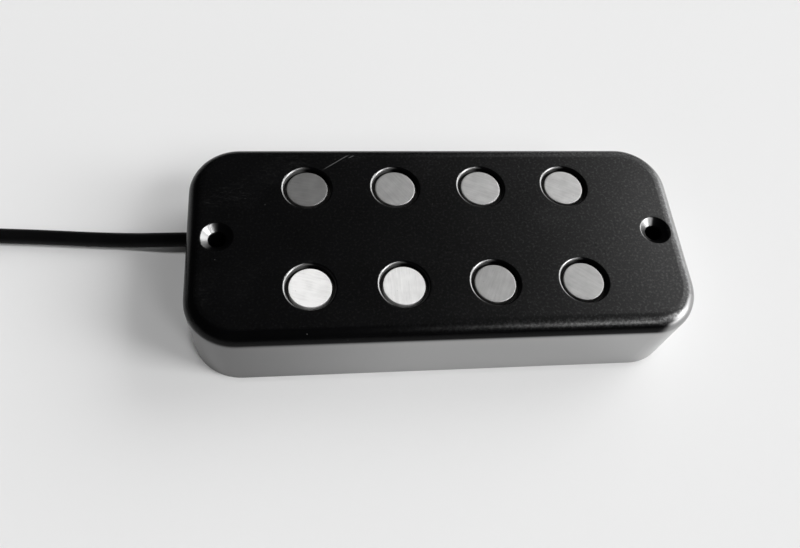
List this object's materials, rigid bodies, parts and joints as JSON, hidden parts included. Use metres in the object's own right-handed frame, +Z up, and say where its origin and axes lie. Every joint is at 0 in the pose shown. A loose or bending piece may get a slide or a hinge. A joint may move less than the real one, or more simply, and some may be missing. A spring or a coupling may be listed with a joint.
{
  "type": "guitar pickup",
  "caption": "Rectangular moulded guitar pickup with rounded corners and edges, rows of flush round magnets in open holes, a countersunk mounting hole at each end, and a shielded lead.",
  "frame": {"origin": "middle of the moulded body's lower rim, where it rests", "axes": "+X along the body away from the end that the lead leaves, +Y across the strings' line to the side nearer the lead's exit, +Z up through the magnets' faces"},
  "size_m": [0.1981, 0.0573, 0.0192],
  "materials": {
    "cover": "black moulded plastic, satin, fine grain and light scuffs",
    "magnets": "ground magnet faces with fine brush lines",
    "board": "dark glass-fibre board, semi-matte",
    "screws": "zinc-plated steel",
    "coil_form": "black vulcanised fibre, matte",
    "copper": "enamelled copper wire",
    "tape": "black cloth tape",
    "eyelets": "rolled brass",
    "solder": "bright tin solder",
    "jacket": "black soft PVC jacket",
    "tie": "black nylon",
    "insulation_red": "soft PVC",
    "insulation_white": "soft PVC",
    "insulation_green": "soft PVC",
    "insulation_black": "soft PVC",
    "shield": "bare twisted tinned wire"
  },
  "bodies": {
    "root": {"base_board": "board", "base_screws": "screws", "cable_tie": "tie", "coil_tape_front": "tape", "coil_tape_rear": "tape", "coil_tie": "tie", "coil_wires_front": "copper", "coil_wires_rear": "copper", "conductor_black": "insulation_black", "conductor_green": "insulation_green", "conductor_red": "insulation_red", "conductor_white": "insulation_white", "cover": "cover", "lead": "jacket", "lead_coil": "jacket", "lead_inner": "jacket", "lower_plate_front": "coil_form", "lower_plate_rear": "coil_form", "pole_front_1": "magnets", "pole_front_2": "magnets", "pole_front_3": "magnets", "pole_front_4": "magnets", "pole_rear_1": "magnets", "pole_rear_2": "magnets", "pole_rear_3": "magnets", "pole_rear_4": "magnets", "shield_wire": "shield", "solder_joints": "solder", "tail_black": "insulation_black", "tail_green": "insulation_green", "tail_red": "insulation_red", "tail_shield": "shield", "tail_white": "insulation_white", "terminal_eyelets": "eyelets", "upper_plate_front": "coil_form", "upper_plate_rear": "coil_form", "winding_front": "copper", "winding_rear": "copper"}
  },
  "joints": []
}
